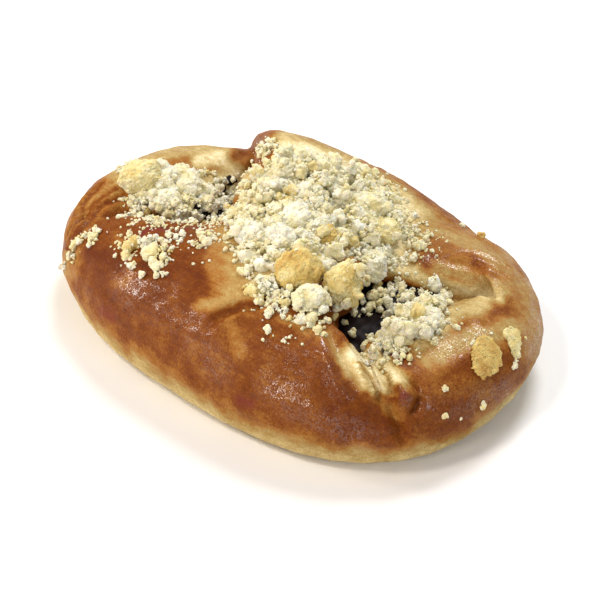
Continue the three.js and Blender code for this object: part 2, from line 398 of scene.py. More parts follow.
# strokes that shape the dough: the width, the rise (a groove's is negative) and the height of a
# raised lip on both sides, all in mm, then pixels of the photograph
doughStrokes = {
    "windowRim": (2.6, -2.4, 0, (334, 304), (339, 316), (344, 332)),
    "windowEdge": (1.5, -1.0, 0.5, (327, 322), (337, 345), (346, 372), (356, 398)),
    "nearEndCrease": (1.3, -1.9, 0.5, (388, 402), (396, 420), (405, 438), (419, 457)),
    "creaseBranch": (0.9, -0.8, 0.2, (386, 432), (398, 436), (408, 444)),
    "edgeRidge": (2.6, 1.0, 0, (312, 340), (325, 360), (340, 384), (356, 408)),
    "fingerA": (1.3, 2.0, 0, (352, 362), (362, 380), (374, 400)),
    "fingerB": (1.3, 2.0, 0, (366, 364), (376, 380), (386, 398)),
    "betweenFingers": (0.8, -1.7, 0, (359, 362), (370, 382), (381, 402)),
    "besideFingers": (1.0, -1.9, 0, (378, 366), (388, 382), (394, 400)),
    "teardrop": (2.2, 3.0, 0, (395, 384), (402, 394), (408, 404)),
    "aroundTeardrop": (1.2, -2.0, 0, (402, 376), (414, 390), (416, 406), (406, 414)),
    "farCrease": (1.0, -1.1, 0.4, (432, 284), (456, 293), (485, 298), (510, 303)),
    "lobeWrinkleA": (0.9, -0.6, 0.3, (440, 300), (462, 300), (484, 306), (500, 316)),
    "lobeWrinkleB": (1.1, 0.5, 0, (452, 310), (470, 316), (482, 326)),
    "lobeWrinkleC": (1.1, 0.5, 0, (436, 322), (448, 330), (462, 334)),
    "lobeWrinkleD": (0.9, -0.5, 0, (444, 316), (462, 324), (476, 336)),
    "farWrinkleA": (1.0, -0.45, 0.2, (448, 262), (472, 266), (500, 276)),
    "farWrinkleB": (0.9, -0.35, 0.2, (462, 252), (486, 258), (510, 272)),
    "leftWrinkleA": (0.9, -1.2, 0.5, (128, 194), (103, 205), (86, 224), (76, 244), (70, 262)),
    "leftWrinkleB": (0.8, -1.0, 0.5, (118, 189), (96, 203), (80, 226), (70, 246), (65, 266)),
    "leftWrinkleC": (0.8, -0.9, 0.4, (106, 182), (88, 199), (75, 222), (66, 246)),
    "leftWrinkleD": (0.7, -0.7, 0.3, (122, 178), (104, 188), (88, 206), (78, 226)),
    "leftFoldEdge": (1.3, -0.8, 0.3, (196, 224), (165, 226), (130, 214), (104, 218), (90, 232)),
    "topWrinkle": (1.2, -1.4, 0.7, (211, 326), (222, 314), (240, 308), (258, 306), (272, 296)),
    "topWrinkleLow": (1.1, -0.35, 0, (246, 316), (244, 336), (250, 352)),
    "farBumpFold": (1.3, -0.6, 0.3, (243, 150), (250, 166), (262, 176)),
}

# how brown the crust is, from 0 for pale dough to 1 for dark chestnut; some strokes also hold painted shade
# in grooves and painted light, as marked
doughBrowning = {
    "leftBack": (16, 0.36, (120, 175), (160, 155), (200, 150), (240, 150)),
    "leftTop": (6, 0.62, (166, 165), (182, 163), (192, 160)),
    "leftTopPale": (8, 0.12, (200, 162), (220, 160), (234, 168)),
    "leftWrinkles": (15, 0.5, (118, 190), (92, 208), (76, 232), (64, 270)),
    # painted shade: the left end's wrinkle grooves are drawn darker brown, partly browner crust and partly
    # the shade that lies in the grooves
    "leftGrooveShadeA": (3, 0.92, (126, 196), (103, 206), (86, 225), (75, 246)),
    "leftGrooveShadeB": (2.5, 0.85, (116, 190), (95, 204), (79, 227), (69, 248)),
    "leftGrooveShadeC": (2.5, 0.8, (104, 183), (87, 200), (74, 223), (65, 248)),
    "leftUnderCrumble": (16, 0.3, (140, 205), (170, 200), (205, 205)),
    "leftWindow": (16, 0.2, (205, 190), (235, 180)),
    "farBump": (11, 0.74, (238, 155), (250, 146), (262, 140), (268, 136)),
    "farBumpPale": (12, 0.14, (284, 142), (300, 150)),
    "farPale": (22, 0.06, (300, 155), (340, 172), (380, 195), (415, 222)),
    "middlePale": (28, 0.08, (270, 200), (310, 215), (350, 230), (390, 245)),
    "farCrest": (13, 0.46, (425, 228), (450, 236), (475, 246), (500, 262)),
    "farBrown": (8, 0.66, (432, 244), (446, 250), (462, 262)),
    # paler crust at the far end, made paler still as painted light for its brightly lit rim
    "farEnd": (14, 0.52, (505, 262), (525, 290), (535, 320), (535, 350)),
    "farRoll": (10, 0.45, (440, 268), (470, 277), (505, 290)),
    "farRollWall": (8, 0.2, (385, 262), (415, 276), (450, 288), (500, 298)),
    "nearFlapTop": (20, 0.84, (105, 235), (140, 232), (175, 238), (205, 250)),
    "nearFlapGold": (9, 0.68, (118, 240), (128, 268), (118, 285)),
    "nearFlapDark": (11, 1.0, (92, 252), (104, 258), (116, 262)),
    "nearFlapRed": (12, 0.93, (180, 262), (195, 275), (205, 290)),
    "nearFlapRim": (8, 0.62, (215, 228), (214, 255), (214, 290)),
    "paleZone": (14, 0.44, (228, 236), (232, 262), (230, 292), (224, 304)),
    "paleZoneRight": (20, 0.22, (256, 245), (262, 275), (258, 298)),
    "paleZoneFoot": (9, 0.46, (200, 306), (222, 306), (245, 300), (262, 294)),
    # painted shade: darker brown along the crease of the top wrinkle, partly browner crust and partly the
    # shade in the crease
    "topWrinkle": (4, 0.86, (211, 324), (224, 313), (242, 308), (258, 306), (270, 298)),
    "betweenWrinkles": (9, 0.64, (228, 326), (234, 338), (240, 352)),
    "underWrinkle": (5, 0.76, (222, 330), (224, 350), (230, 362)),
    "nearFlapMiddle": (17, 0.82, (262, 322), (285, 335), (305, 352), (322, 380)),
    "underGolden": (7, 0.55, (282, 318), (300, 326), (318, 335)),
    "nearFlapEnd": (14, 0.92, (325, 372), (338, 395), (356, 416), (378, 430)),
    # painted highlight: a lighter strip along the flap rim, partly paler crust and partly the glaze's sheen
    # painted in
    "edgePaleAndHighlight": (5, 0.5, (328, 335), (336, 352), (346, 372)),
    "pleats": (13, 0.06, (350, 354), (364, 374), (378, 390)),
    "pleatsRight": (13, 0.1, (372, 358), (386, 370), (397, 382)),
    # painted shade: darker along the grooves between the pale pleats
    "pleatGroove": (2.5, 0.5, (359, 364), (370, 382), (380, 400)),
    "pleatGrooveRight": (2.5, 0.55, (379, 368), (388, 382), (393, 396)),
    "pleatTipA": (5, 0.8, (364, 392), (372, 400)),
    "pleatTipB": (4, 0.7, (380, 394), (387, 400)),
    "teardrop": (5, 0.88, (397, 386), (403, 394), (408, 404)),
    "underPleats": (7, 0.6, (384, 408), (400, 414), (416, 422)),
    "lobePale": (12, 0.28, (420, 345), (440, 330), (452, 312), (480, 306)),
    "lobeTop": (14, 0.42, (430, 362), (456, 345), (490, 335), (515, 325)),
    "lobeDark": (13, 0.86, (415, 420), (436, 428), (460, 420)),
    "lobeMiddle": (16, 0.72, (425, 385), (455, 385), (485, 390)),
}

# red-purple marks where juice baked on
doughStains = {
    "byTheCrumble": (5, 0.9, (144, 233), (152, 230), (160, 229)),
    "besideIt": (4, 0.7, (182, 228), (192, 226)),
    "lowLeft": (7, 0.55, (104, 312), (110, 318)),
    "lowMiddle": (6, 0.6, (240, 400), (250, 404)),
    "teardrop": (5, 0.6, (404, 397)),
    "leftEnd": (10, 0.1, (70, 235), (66, 265)),
}


# where the crust is glossy, as seen in the photograph
doughGloss = {
    "all": (900, 0.06, (300, 300)),
    "flapDark": (16, 0.02, (90, 246), (104, 262), (112, 290)),
    "flapSide": (18, 1.0, (128, 290), (158, 308), (190, 334), (222, 368)),
    "lowerSide": (15, 1.0, (272, 388), (300, 408), (330, 422), (370, 438)),
    "flapTop": (11, 0.5, (130, 270), (152, 278), (178, 284)),
    "byPale": (8, 0.7, (206, 246), (212, 262)),
    "leftTop": (9, 0.3, (118, 168), (150, 152), (200, 146)),
    "leftEnd": (10, 0.3, (76, 208), (68, 244)),
    "flapRim": (12, 1.0, (312, 336), (328, 358), (344, 388)),
    "flapFront": (14, 0.35, (255, 350), (285, 366), (310, 386)),
    "teardrop": (7, 1.0, (402, 390), (408, 402)),
    "lobeSide": (16, 0.7, (430, 400), (465, 402), (500, 392)),
    "lobeTop": (12, 0.7, (440, 345), (462, 350), (478, 332)),
    "farCrest": (12, 0.8, (440, 236), (468, 246), (500, 264), (520, 288)),
    "farRoll": (8, 0.6, (430, 262), (458, 274), (488, 284)),
    "farBump": (8, 0.3, (246, 146), (262, 138)),
    "rightEnd": (12, 0.8, (522, 290), (534, 320), (534, 348)),
}


# how a stroke's shape runs out to the sides, in widths, and along its length
workLook = {"reach": 4, "lipGap": 2, "taper": 5, "endShare": 0.25}


def workStroke(points, normals, surface, width, rise, lip, *marks):
    hits = [pixelHit(surface, mark) for mark in marks]
    line = smoothLine([h for h in hits if h is not None])
    near, gap, along = nearLine(points, line, workLook["reach"] * width)
    ends = np.clip(np.minimum(along, 1 - along) * workLook["taper"] + workLook["endShare"], 0, 1)
    lift = rise * np.exp(-((gap / width) ** 2))
    lift += lip * np.exp(-(((gap - workLook["lipGap"] * width) / width) ** 2))
    points[near] += normals[near] * (lift * ends)[:, None]


# the dough where the photograph doesn't show it, and its paler foot
doughBase = {
    "brown": 0.84,
    "broad": (24, 0.1),  # size and strength of the unevenness
    "fine": (7, 0.06),
    "footBrown": 0.26,
    "footHeights": (3, 15),
    "footUneven": (14, 2.2),
    "gloss": 0.3,
    "turned": (-0.15, 0.1),  # from hidden to seen, as the cosine to the camera
    "drift": (9, 3),  # size and layers of the unevenness of painted edges
}


# what a mask holds, painted over where the photograph shows it
def overpainted(base, seen, pixels, strokes):
    return base + seen * (paint(base.copy(), pixels, strokes) - base)


def brownDough(mesh, points, normals):
    toCamera = cameraPlace - points
    turned = (normals * toCamera).sum(1) / np.linalg.norm(toCamera, axis=1)
    seen = smoothStep(*doughBase["turned"], turned)
    seed = seeds["dough"]
    pixels = drifted(points, *doughBase["drift"], seed)
    size, rise = doughBase["footUneven"]
    height = points[:, 2] + rise * waves(points, size, seed + 2)
    brown = np.full(len(points), doughBase["brown"])
    for k, (size, amount) in enumerate([doughBase["broad"], doughBase["fine"]]):
        brown += amount * waves(points, size, seed + 3 + k)
    brown += (doughBase["footBrown"] - brown) * (1 - smoothStep(*doughBase["footHeights"], height))
    writeMask(mesh, "browning", np.clip(overpainted(brown, seen, pixels, doughBrowning), 0, 1))
    writeMask(mesh, "stain", overpainted(np.zeros(len(points)), seen, pixels, doughStains))
    gloss = np.full(len(points), doughBase["gloss"])
    writeMask(mesh, "gloss", overpainted(gloss, seen, pixels, doughGloss))


def makeDough():
    mesh = remadeNode("dough", "pastryDough", doughShape["voxel"])
    piece = newPiece("pastryDough", mesh)
    edges = edgesOf(mesh)
    points = melted(pointsOf(mesh), edges, doughShape["meltRounds"])
    movePoints(mesh, points)
    surface = surfaceOf(piece)
    for pixel, reach, rounds in doughMelts.values():
        gap = np.linalg.norm(points - pixelHit(surface, pixel), axis=1)
        points = melted(points, edges, rounds, (1 - smoothStep(0.5 * reach, reach, gap))[:, None])
    movePoints(mesh, points)
    normals = normalsOf(mesh)
    surface = surfaceOf(piece)
    for stroke in doughStrokes.values():
        workStroke(points, normals, surface, *stroke)
    movePoints(mesh, melted(points, edges, doughShape["lastRounds"]))
    points = pointsOf(mesh)
    normals = normalsOf(mesh)
    layers = [doughShape["swell"], doughShape["dimples"], doughShape["pocks"]]
    lumps = sum(height * waves(points, size, seed, 2) for seed, (size, height) in enumerate(layers))
    lift = smoothStep(*doughShape["flatFoot"], points[:, 2])
    points += normals * (lumps * lift)[:, None]
    movePoints(mesh, points)
    brownDough(mesh, points, normalsOf(mesh))
    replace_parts(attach(piece, "root"), "dough")
    print("dough shaped:", len(mesh.polygons), "faces")
    return piece


jamShape = {
    "voxel": 0.6,
    "meltRounds": 6,
    "swell": 0.4,  # meets the dough
    "lumps": (6, 0.35),
    "ripples": (3.2, 0.08),
}


def makeJam():
    mesh = remadeNode("jam", "jamFilling", jamShape["voxel"])
    piece = newPiece("jamFilling", mesh)
    movePoints(mesh, melted(pointsOf(mesh), edgesOf(mesh), jamShape["meltRounds"]))
    points = pointsOf(mesh)
    rise = np.full(len(points), jamShape["swell"])
    for k, (size, height) in enumerate([jamShape["lumps"], jamShape["ripples"]]):
        rise += height * waves(points, size, seeds["jam"] + k, 2)
    movePoints(mesh, points + normalsOf(mesh) * rise[:, None])
    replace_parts(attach(piece, "root"), "jam")
    print("jam shaped:", len(mesh.polygons), "faces")
    return piece


dough = makeDough()
jam = makeJam()


def ballArrays(detail):
    ball = bmesh.new()
    bmesh.ops.create_icosphere(ball, subdivisions=detail, radius=1)
    points = np.array([v.co for v in ball.verts])
    faces = np.array([[v.index for v in f.verts] for f in ball.faces])
    ball.free()
    return points, faces


def randomTurn(rng):
    q = rng.normal(size=4)
    return np.array(Quaternion(q / np.linalg.norm(q)).to_matrix())


# one mesh of parts that are each an array of points and a list of faces
def joinedMesh(parts, name):
    points, faces, first = [], [], 0
    for partPoints, partFaces in parts:
        points.append(partPoints)
        faces += (np.asarray(partFaces) + first).tolist()
        first += len(partPoints)
    mesh = bpy.data.meshes.new(name)
    mesh.from_pydata(np.vstack(points) * mm, [], faces)
    mesh.polygons.foreach_set("use_smooth", [True] * len(mesh.polygons))
    return mesh


# a mesh with only a share of its faces kept
def thinned(mesh, share):
    rough = newPiece("rough", mesh)
    rough.modifiers.new("triangles", "TRIANGULATE")
    rough.modifiers.new("thin", "DECIMATE").ratio = share
    return modified(rough)


# Balls set over the skin of a mesh and joined with it, which is how crumble sticks together.
# Each layer is the smallest and largest radius, the count and how deep the balls sit.
def grainy(mesh, name, layers, voxel, rng):
    for low, high, count, depth in layers:
        points, normals = pointsOf(mesh), normalsOf(mesh)
        pick = rng.integers(0, len(points), count)
        radius = rng.uniform(low, high, count)
        places = points[pick] - normals[pick] * (radius * depth)[:, None]
        parts = [(points, facesOf(mesh))]
        for size, place in zip(radius, places):
            lump, faces = lumpShapes[rng.integers(len(lumpShapes))]
            parts.append((lump @ randomTurn(rng).T * size + place, faces))
        mesh = remade(joinedMesh(parts, "grains"), name, voxel)
    return mesh


lumpLook = {
    "detail": 2,
    "count": 12,
    "bumps": (1.2, 0.1),  # size and height, for a radius of 1
    "dents": 7,
    "dentFrom": (0.5, 0.85),  # a dent flattens what lies further out than this
    "dentDepth": 0.85,
    "stretch": (0.85, 1.2),
}


# lumps of dough crumb: balls knocked out of shape, each about 1 in radius
def makeLumps(seed):
    rng = np.random.default_rng(seed)
    ball, faces = ballArrays(lumpLook["detail"])
    size, height = lumpLook["bumps"]
    lumps = []
    for k in range(lumpLook["count"]):
        points = ball * (1 + height * waves(ball, size, seed + k, 2))[:, None]
        for dent in range(lumpLook["dents"]):
            way = rng.normal(size=3)
            way /= np.linalg.norm(way)
            reach = points @ way
            flat = rng.uniform(*lumpLook["dentFrom"])
            points = points - np.maximum(reach - flat, 0)[:, None] * way * lumpLook["dentDepth"]
        lumps.append((points * rng.uniform(*lumpLook["stretch"], 3), faces))
    return lumps


lumpShapes = makeLumps(seeds["lumps"])

# grains are the smallest and largest radius, the count and how deep they sit in the skin
coreShape = {
    "voxel": 0.55,
    "shrink": 1.1,  # the core of a heap lies this far inside its outline
    "grains": [(1.2, 2.2, 240, 0.85), (0.5, 0.95, 1900, 0.4), (0.26, 0.46, 10000, 0.1)],
    "grainVoxel": 0.31,
    "toast": 0.14,
}
clumpShape = {
    "voxel": 0.5,
    "lobes": (0.6, 1.7, 60, 0.4),
    "leastLobes": 3,
    "lobeVoxel": 0.45,
    "grains": (0.24, 0.5, 14.0, 0.1),  # count is for each square millimetre of the clump's box
    "smoothLoss": 0.75,  # the share of its grains that a smooth clump lacks
    "grainVoxel": 0.225,
    "pocks": (1.1, 0.07),  # size and height
    "toastedFrom": 0.5,  # a toast level for clumps
}
flakeShape = {
    "voxel": 0.3,
    "waves": (1.6, 0.25),
    "grainSize": (0.2, 0.42),
    "grainDepth": 0.45,
    "grainVoxel": 0.22,
}
crumbleUneven = {"toast": (4.5, 0.28), "tone": (2.5, 0.35), "middleTone": 0.5}

# how toasted each large clump is, and how smooth its faces are
clumpLooks = {
    "clump_left_end": (0.34, 0.2),
    "clump_left_near": (0.1, 0.1),
    "clump_left_far": (0.12, 0.1),
    "clump_left_window": (0.1, 0.1),
    "clump_middle": (0.08, 0.0),
    "clump_near_left": (0.05, 0.1),
    "clump_near_right": (0.05, 0.1),
    "clump_window_golden": (0.66, 0.1),
    "clump_window_block": (0.46, 0.1),
    "clump_window_low": (0.22, 0.0),
    "clump_window_corner": (0.12, 0.1),
    "clump_yellow": (0.6, 0.8),
    "clump_far_long": (0.22, 0.3),
    "clump_far_round": (0.35, 0.6),
    "clump_far_top": (0.25, 0.2),
    "clump_right_end": (0.15, 0.1),
}

# how toasted each flake is, and how many grains it has
flakeLooks = {
    "flake_large": (0.74, 1500),
    "flake_small": (0.4, 700),
}

# what share of the grains each heap's core has
coreLooks = {
    "crumble_middle": (1.0,),
    "crumble_left": (0.35,),
    "crumble_right": (0.3,),
}


def finishCrumble(mesh, name, node, toast, seed):
    points = pointsOf(mesh)
    size, amount = crumbleUneven["toast"]
    writeMask(mesh, "toast", np.clip(toast * (1 + amount * waves(points, size, seed, 3)), 0, 1))
    size, amount = crumbleUneven["tone"]
    writeMask(mesh, "tone", crumbleUneven["middleTone"] + amount * waves(points, size, seed + 1, 2))
    piece = newPiece(name, mesh)
    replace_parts(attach(piece, "root"), node)
    return piece


def camelName(node):
    first, *rest = node.split("_")
    return first + "".join(word.capitalize() for word in rest)


def makeClump(node, toast, smooth, seed):
    rng = np.random.default_rng(seed)
    name = camelName(node)
    body = remadeNode(node, name, clumpShape["voxel"])
    low, high, count, depth = clumpShape["lobes"]
    span = np.ptp(pointsOf(body), axis=0)
    count = int(count * (1 - smooth)) + clumpShape["leastLobes"]
    body = grainy(body, name, [(low, high, count, depth)], clumpShape["lobeVoxel"], rng)
    low, high, density, depth = clumpShape["grains"]
    count = int(density * span[0] * span[1] * (1 - clumpShape["smoothLoss"] * smooth))
    body = grainy(body, name, [(low, high, count, depth)], clumpShape["grainVoxel"], rng)
    roughen(body, *clumpShape["pocks"], seed)
    return finishCrumble(body, name, node, toast, seed)


def makeFlake(node, toast, count, seed):
    rng = np.random.default_rng(seed)
    name = camelName(node)
    body = remadeNode(node, name, flakeShape["voxel"])
    roughen(body, *flakeShape["waves"], seed)
    grains = (*flakeShape["grainSize"], count, flakeShape["grainDepth"])
    body = grainy(body, name, [grains], flakeShape["grainVoxel"], rng)
    return finishCrumble(body, name, node, toast, seed)


def makeCore(node, share, seed):
    rng = np.random.default_rng(seed)
    name = camelName(node) + "Core"
    body = remadeNode(node, name, coreShape["voxel"])
    movePoints(body, pointsOf(body) - normalsOf(body) * coreShape["shrink"])
    layers = [(low, high, int(count * share), depth) for low, high, count, depth in coreShape["grains"]]
    body = grainy(body, name, layers, coreShape["grainVoxel"], rng)
    return finishCrumble(body, name, node, coreShape["toast"], seed)


# a piece for each row of a dictionary
def madeFrom(looks, make, seed):
    return [make(node, *look, seed + k) for k, (node, look) in enumerate(looks.items())]


clumps = madeFrom(clumpLooks, makeClump, seeds["clumps"])
flakes = madeFrom(flakeLooks, makeFlake, seeds["flakes"])
print("clumps and flakes made:", sum(len(c.data.polygons) for c in clumps + flakes), "faces")
cores = madeFrom(coreLooks, makeCore, seeds["cores"])
print("heap cores made:", sum(len(c.data.polygons) for c in cores), "faces")

# where loose crumbs lie, as seen in the photograph; the value is how densely
crumbCover = {
    "farBumpHigh": (8, 0.7, (258, 156), (268, 147), (280, 158)),
    "farBumpLow": (9, 0.7, (255, 168), (270, 174)),
    "far": (17, 1.0, (290, 172), (325, 176), (360, 188), (388, 206)),
    "middleHigh": (19, 1.0, (250, 192), (290, 195), (335, 205), (380, 222), (408, 238)),
    "middle": (19, 1.0, (240, 215), (290, 225), (340, 240), (388, 256)),
    "byLeftWindow": (13, 1.0, (180, 190), (205, 205), (235, 208)),
    "leftPatch": (18, 0.9, (138, 182), (165, 195), (190, 185)),
    "leftLow": (12, 1.6, (130, 208), (150, 214), (180, 212), (212, 216)),
    "lower": (18, 0.7, (244, 244), (262, 262), (272, 290)),
    "underGolden": (11, 1.6, (268, 296), (284, 306), (302, 312), (326, 308)),
    "windowTop": (13, 1.0, (345, 278), (375, 284), (405, 292)),
    "windowRight": (13, 1.0, (428, 292), (434, 312), (414, 336), (392, 350), (374, 356)),
    "onJamLeft": (9, 0.45, (350, 308), (364, 318)),
    "onJamMiddle": (9, 0.7, (388, 310), (396, 330)),
    "onJamLow": (6, 0.5, (350, 333)),
    "flapA": (9, 0.8, (125, 240), (135, 256)),
    "flapB": (9, 0.8, (146, 240), (158, 256), (160, 268)),
    "flapC": (8, 0.4, (165, 244), (182, 238)),
    "flapD": (8, 0.7, (200, 242), (210, 237)),
    "leftEndA": (6, 0.7, (70, 252), (78, 242)),
    "leftEndB": (6, 0.7, (90, 238), (96, 232)),
    "farSpill": (8, 0.5, (395, 256), (415, 258), (418, 246)),
    "endSpill": (5, 0.3, (515, 352), (520, 366)),
    "leftJamBare": (7, 0.1, (206, 188), (222, 182), (240, 180)),
    "leftJamLow": (5, 0.0, (203, 212), (206, 220)),
    "jamBare": (9, 0.02, (340, 345), (358, 344), (372, 326), (382, 336)),
}

# a thin sprinkling between and around them
crumbSprinkle = {
    "nearFlap": (20, 0.12, (130, 246), (150, 252), (205, 242)),
    "lobe": (20, 0.1, (445, 315), (470, 330)),
    "underGolden": (14, 0.16, (270, 318), (300, 330)),
    "far": (18, 0.25, (400, 225), (430, 245)),
}

# crumbs and lumps that can be told apart: the pixel of the middle, the size in mm and,
# where it isn't plain, how toasted
placedCrumbs = {
    "flap": [
        (130, 246, 5.8), (126, 254, 4.0), (152, 252, 5.4), (157, 265, 4.8), (146, 243, 4.2),
        (163, 257, 3.4), (142, 275, 2.6), (172, 248, 1.6), (163, 241, 3.2), (176, 238, 2.2),
        (205, 242, 4.2), (211, 236, 3.2), (199, 247, 2.0),
    ],
    "leftEnd": [
        (70, 256, 2.6), (74, 246, 3.6), (79, 241, 2.4), (92, 237, 3.4), (96, 231, 2.2), (89, 245, 2.0),
        (108, 219, 1.0),
    ],
    "patch": [
        (142, 198, 4.8), (132, 216, 3.6), (154, 202, 4.2), (168, 213, 3.6), (186, 213, 4.6),
        (196, 219, 4.0), (176, 204, 4.0), (150, 219, 3.4),
    ],
    "leftWindow": [
        (222, 203, 5.4), (238, 214, 6.2, 0.32), (208, 200, 4.2), (218, 189, 3.6), (232, 191, 3.4),
        (243, 200, 4.0), (225, 181, 2.2), (243, 184, 2.6), (233, 180, 1.8), (231, 188, 2.4),
        (214, 192, 2.8), (221, 180, 1.8), (200, 212, 2.0), (208, 208, 2.4), (192, 203, 2.4),
    ],
    "patchEdge": [
        (138, 208, 3.2), (146, 212, 2.8), (160, 206, 3.4), (178, 217, 3.0), (204, 222, 3.0),
        (214, 217, 3.4), (130, 204, 2.8),
    ],
    "farBump": [
        (270, 146, 3.6), (281, 151, 3.4), (262, 154, 3.4), (285, 162, 3.2), (256, 170, 3.4, 0.4),
        (268, 163, 2.8),
    ],
    "far": [
        (302, 172, 4.4), (327, 181, 5.2), (342, 196, 5.4), (317, 203, 5.0), (290, 190, 4.6),
        (308, 190, 4.0), (272, 184, 4.4), (262, 198, 5.0), (352, 170, 4.2), (383, 182, 3.8),
        (335, 163, 2.6), (375, 172, 3.2), (394, 200, 4.0), (402, 218, 3.6), (280, 172, 3.8),
        (314, 166, 3.2),
    ],
    "overWall": [(338, 308, 3.6), (346, 303, 3.2), (334, 316, 3.0)],
    "middle": [
        (343, 236, 5.8), (358, 229, 5.2), (333, 252, 5.6), (372, 238, 5.2), (352, 246, 4.8),
        (322, 231, 4.2, 0.3), (300, 246, 4.0), (386, 250, 4.0), (340, 217, 4.6), (325, 211, 4.2),
        (396, 236, 4.0), (364, 252, 4.2),
    ],
    "near": [
        (250, 256, 5.6), (262, 268, 6.0), (252, 291, 5.6), (266, 283, 5.0), (246, 272, 4.4),
        (259, 246, 4.8), (243, 246, 3.8), (260, 300, 3.8), (272, 254, 4.8), (275, 296, 3.6),
        (238, 228, 4.6), (228, 222, 4.0),
    ],
    "skirt": [
        (297, 300, 4.6), (309, 318, 4.4), (322, 309, 4.6), (285, 303, 3.8), (300, 318, 3.4),
        (326, 320, 3.2),
    ],
    "rim": [(310, 325, 2.2), (318, 330, 2.8), (324, 334, 2.0)],
    "below": [(270, 312, 3.6), (268, 329, 2.4), (284, 341, 1.5), (263, 340, 1.0)],
    "top": [
        (362, 281, 4.6), (378, 284, 4.2), (391, 292, 4.2), (372, 296, 4.6), (402, 286, 4.0),
        (356, 294, 4.2), (408, 299, 4.8), (386, 303, 4.2), (358, 270, 4.4),
    ],
    "jam": [
        (354, 311, 4.0), (369, 307, 3.8), (389, 314, 3.8), (396, 325, 3.2), (352, 333, 2.8),
        (345, 323, 2.0), (379, 310, 2.6), (399, 309, 3.2),
    ],
    "right": [
        (404, 340, 5.4), (388, 346, 4.8), (374, 354, 4.0), (412, 326, 5.0), (418, 312, 5.2),
        (436, 286, 5.2), (428, 300, 4.6), (446, 295, 4.0), (440, 306, 3.6), (396, 356, 3.2),
        (425, 330, 4.2), (434, 343, 2.0), (410, 358, 2.2), (456, 328, 2.4), (382, 362, 2.4),
    ],
    "lobe": [
        (445, 389, 2.0), (445, 416, 2.6), (483, 406, 2.4), (461, 419, 0.9), (525, 338, 1.1),
        (515, 366, 2.2),
    ],
    "foot": [(430, 456, 1.8)],
    "spill": [(394, 262, 3.0), (432, 251, 1.6), (418, 247, 4.0), (414, 258, 3.4), (426, 240, 3.2)],
    "ridge": [(356, 160, 2.2), (389, 183, 1.8), (462, 226, 2.0), (481, 236, 2.8, 0.8)],
}

# each kind of loose crumb: its sizes in mm and how many are strewn beside the placed ones;
# for those with shapes of their own, how many shapes, their grains' sizes and count and their faces
crumbKinds = {
    "crumbsLarge": {"size": (2.5, 7), "count": 0, "shapes": 9, "grains": (0.13, 0.22, 260), "faces": 1250},
    "crumbsSmall": {"size": (1.1, 2.5), "count": 560, "shapes": 9, "grains": (0.2, 0.34, 60), "faces": 300},
    "crumbGrains": {"size": (0.5, 1.1), "count": 2400},
}

# how the crumbs' own shapes are made of lumps: sizes as shares of the radius
crumbBuild = {
    "radius": 4,  # mm, while it is being made
    "lobes": 7,
    "spread": 0.5,
    "lobeSize": (0.28, 0.5),
    "middleSize": 0.55,
    "voxel": 0.3,
    "grainDepth": 0.25,
    "grainVoxel": 0.24,
}

crumbLook = {
    "proud": 0.3,  # how far the middle of a placed crumb stands over the skin, in radii
    "smallness": 1.6,  # the higher, the more small ones among the strewn
    "stretch": (0.85, 1.15),
    "toast": (0.08, 0.14),  # the least, and what chance adds
    "toasted": (0.04, 0.3),  # the share of toasted ones, and what they have more
    "floor": 6,  # no crumb lies lower than this
    "onClumps": 0.08,  # how many come to lie on clumps, next to elsewhere
    "drift": (8, 2),  # size and layers of the unevenness of the patches' edges
}

# the finest grains: on the skin of each kind of piece, and fallen between
speckLook = {
    "detail": 1,
    "size": (0.34, 0.8),
    "onClumps": 2600,
    "onCores": 2600,
    "onCrumbs": 1500,
    "fallen": 1500,
    "sunk": 0.1,
    "upwards": -0.2,  # the least upward part of the skin's normal
    "skinToast": 0.85,  # a share of the toast of the skin below
    "fallenToast": 0.06,
    "moreToast": 0.1,  # what chance adds
    "smallness": 1.5,
    "stretch": (0.6, 1.2),
    "tone": (0.3, 1),
}

# how balls come to rest on the heap; lengths in mm
heapGrid = {
    "step": 0.4,
    "margin": 2,
    "above": 0.1,  # metres, higher than everything
    "rolls": 4,
    "rollStep": 0.45,
    "leastFall": 0.12,
    "sink": 0.28,
    "cover": 0.9,  # the share of a ball that the next ones rest on
}
rollWays = [np.array([math.cos(a), math.sin(a)]) for a in np.arange(8) * math.pi / 4]


